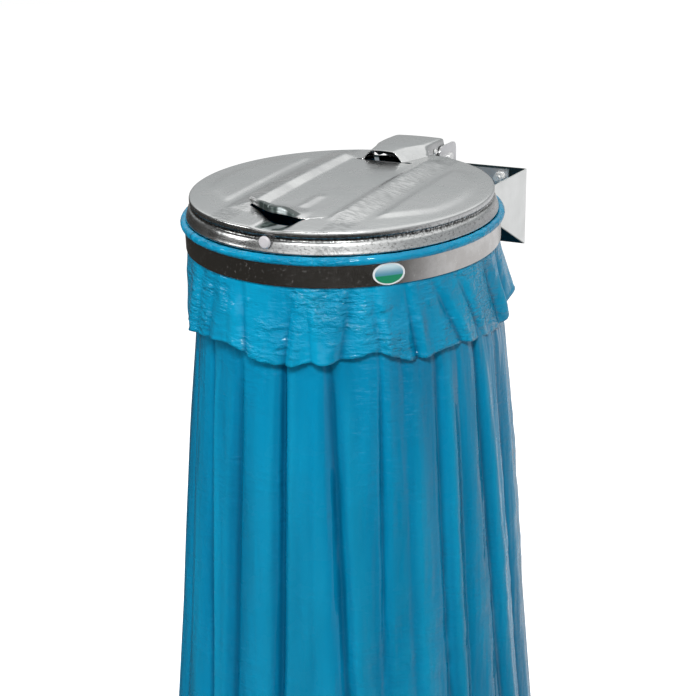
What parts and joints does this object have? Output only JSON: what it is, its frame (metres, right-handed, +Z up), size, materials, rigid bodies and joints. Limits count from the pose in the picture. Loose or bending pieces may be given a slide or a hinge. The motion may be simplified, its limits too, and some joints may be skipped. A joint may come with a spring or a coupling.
{
  "type": "wall-mounted bin bag holder",
  "caption": "Wall-mounted bag holder: folded bracket, steel hoop and bead ring gripping a film bag, with a pressed hinged lid.",
  "frame": {"origin": "middle of the back plate's wall face, at its mid height", "axes": "+Z up, +Y into the wall, the lid's handle and the holder's front face -Y"},
  "size_m": [0.4811, 0.4945, 0.9631],
  "materials": {
    "galvanised_sheet": "hot-dip galvanised, spangled",
    "zinc_plated_steel": "zinc plated",
    "bright_band": "smooth bright steel",
    "pale_plastic": "satin",
    "label_film": "gloss",
    "blue_film": "thin crinkled film"
  },
  "bodies": {
    "holder": {"wall_bracket": "galvanised_sheet", "insert_ring": "galvanised_sheet", "hinge_bracket": "galvanised_sheet", "band_rivets_left": "zinc_plated_steel", "band_rivets_right": "zinc_plated_steel", "hinge_pin": "zinc_plated_steel", "pin_cap_left": "zinc_plated_steel", "pin_cap_right": "zinc_plated_steel", "pin_washer_left": "zinc_plated_steel", "pin_washer_right": "zinc_plated_steel", "mount_stud_left": "zinc_plated_steel", "mount_stud_right": "zinc_plated_steel", "nut_washer_left": "zinc_plated_steel", "nut_washer_right": "zinc_plated_steel", "mount_nut_left": "zinc_plated_steel", "mount_nut_right": "zinc_plated_steel", "support_band": "bright_band", "band_label": "label_film", "refuse_bag": "blue_film"},
    "lid_body": {"lid": "galvanised_sheet", "hinge_strap": "galvanised_sheet", "strap_rivet_left": "zinc_plated_steel", "strap_rivet_right": "zinc_plated_steel", "front_stop": "pale_plastic"}
  },
  "joints": [
    {"name": "lid_hinge", "type": "hinge", "parent": "holder", "child": "lid_body", "pos_m": [0, -0.04, 0.0695], "axis": [-1, 0, 0], "range_deg": [0, 93]}
  ]
}
